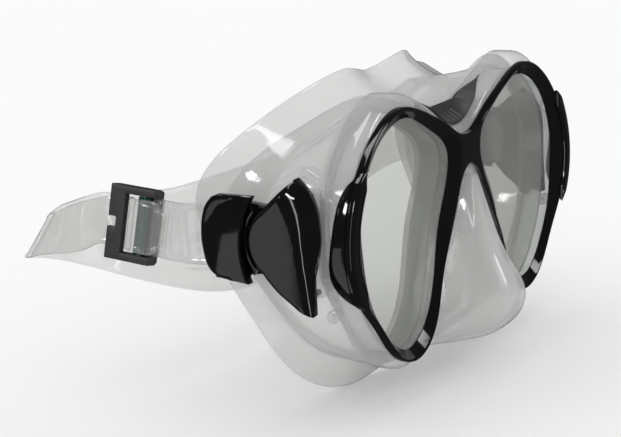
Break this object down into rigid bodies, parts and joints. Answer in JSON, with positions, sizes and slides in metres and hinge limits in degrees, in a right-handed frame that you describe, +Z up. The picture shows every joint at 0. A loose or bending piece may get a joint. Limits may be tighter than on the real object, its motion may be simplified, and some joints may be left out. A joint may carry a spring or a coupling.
{
  "type": "diving mask",
  "caption": "Twin-lens diving mask with a clear silicone skirt and nose pocket, swivelling side pods and an adjustable head strap with a ladder buckle.",
  "frame": {"origin": "middle of the nose bridge on the bezel's flat front face", "axes": "worn upright: +X to the wearer's left, +Y back towards the face, +Z up"},
  "size_m": [0.1724, 0.1407, 0.1008],
  "materials": {
    "black_gloss": "polished moulding",
    "black_matte": "fine texture",
    "grip_rubber": "matt with ridges",
    "clear_plastic": "clear and polished",
    "clear_silicone": "clear, slightly frosted",
    "lens_glass": "clear tempered",
    "roller_metal": "teal anodised",
    "steel": "turned"
  },
  "bodies": {
    "mask_body": {"front_bezel": "black_gloss", "left_lens": "lens_glass", "right_lens": "lens_glass", "clear_frame": "clear_plastic", "bridge_grip": "grip_rubber", "skirt": "clear_silicone", "nose_pocket": "clear_silicone", "left_side_clip": "black_gloss", "left_pod_base": "black_gloss", "left_pod_cover": "black_gloss", "left_pod_screws": "steel", "left_swivel_pin": "steel", "right_side_clip": "black_gloss", "right_pod_base": "black_gloss", "right_pod_cover": "black_gloss", "right_pod_screws": "steel", "right_swivel_pin": "steel"},
    "right_arm": {"right_swivel_neck": "black_gloss", "right_buckle_cap": "black_gloss", "right_strap_pin": "steel", "strap_link": "clear_silicone", "slider_frame": "black_matte", "slider_roller_pin": "steel", "strap": "clear_silicone"},
    "left_arm": {"left_swivel_neck": "black_gloss", "left_buckle_cap": "black_gloss", "left_strap_pin": "steel"},
    "roller": {"slider_roller": "roller_metal"}
  },
  "joints": [
    {"name": "right_swivel", "type": "hinge", "parent": "mask_body", "child": "right_arm", "pos_m": [0, 0.0205, -0.0105], "axis": [1, 0, 0], "range_deg": [-20, 20]},
    {"name": "left_swivel", "type": "hinge", "parent": "mask_body", "child": "left_arm", "pos_m": [0, 0.0205, -0.0105], "axis": [1, 0, 0], "range_deg": [-20, 20]},
    {"name": "roller_spin", "type": "hinge", "parent": "right_arm", "child": "roller", "pos_m": [-0.08125, 0.07231, -0.00923], "axis": [0.2071, -0.0872, 0.9744], "continuous": true}
  ],
  "couplings": [
    {"joint": "left_swivel", "follows": "right_swivel", "ratio": 1}
  ]
}
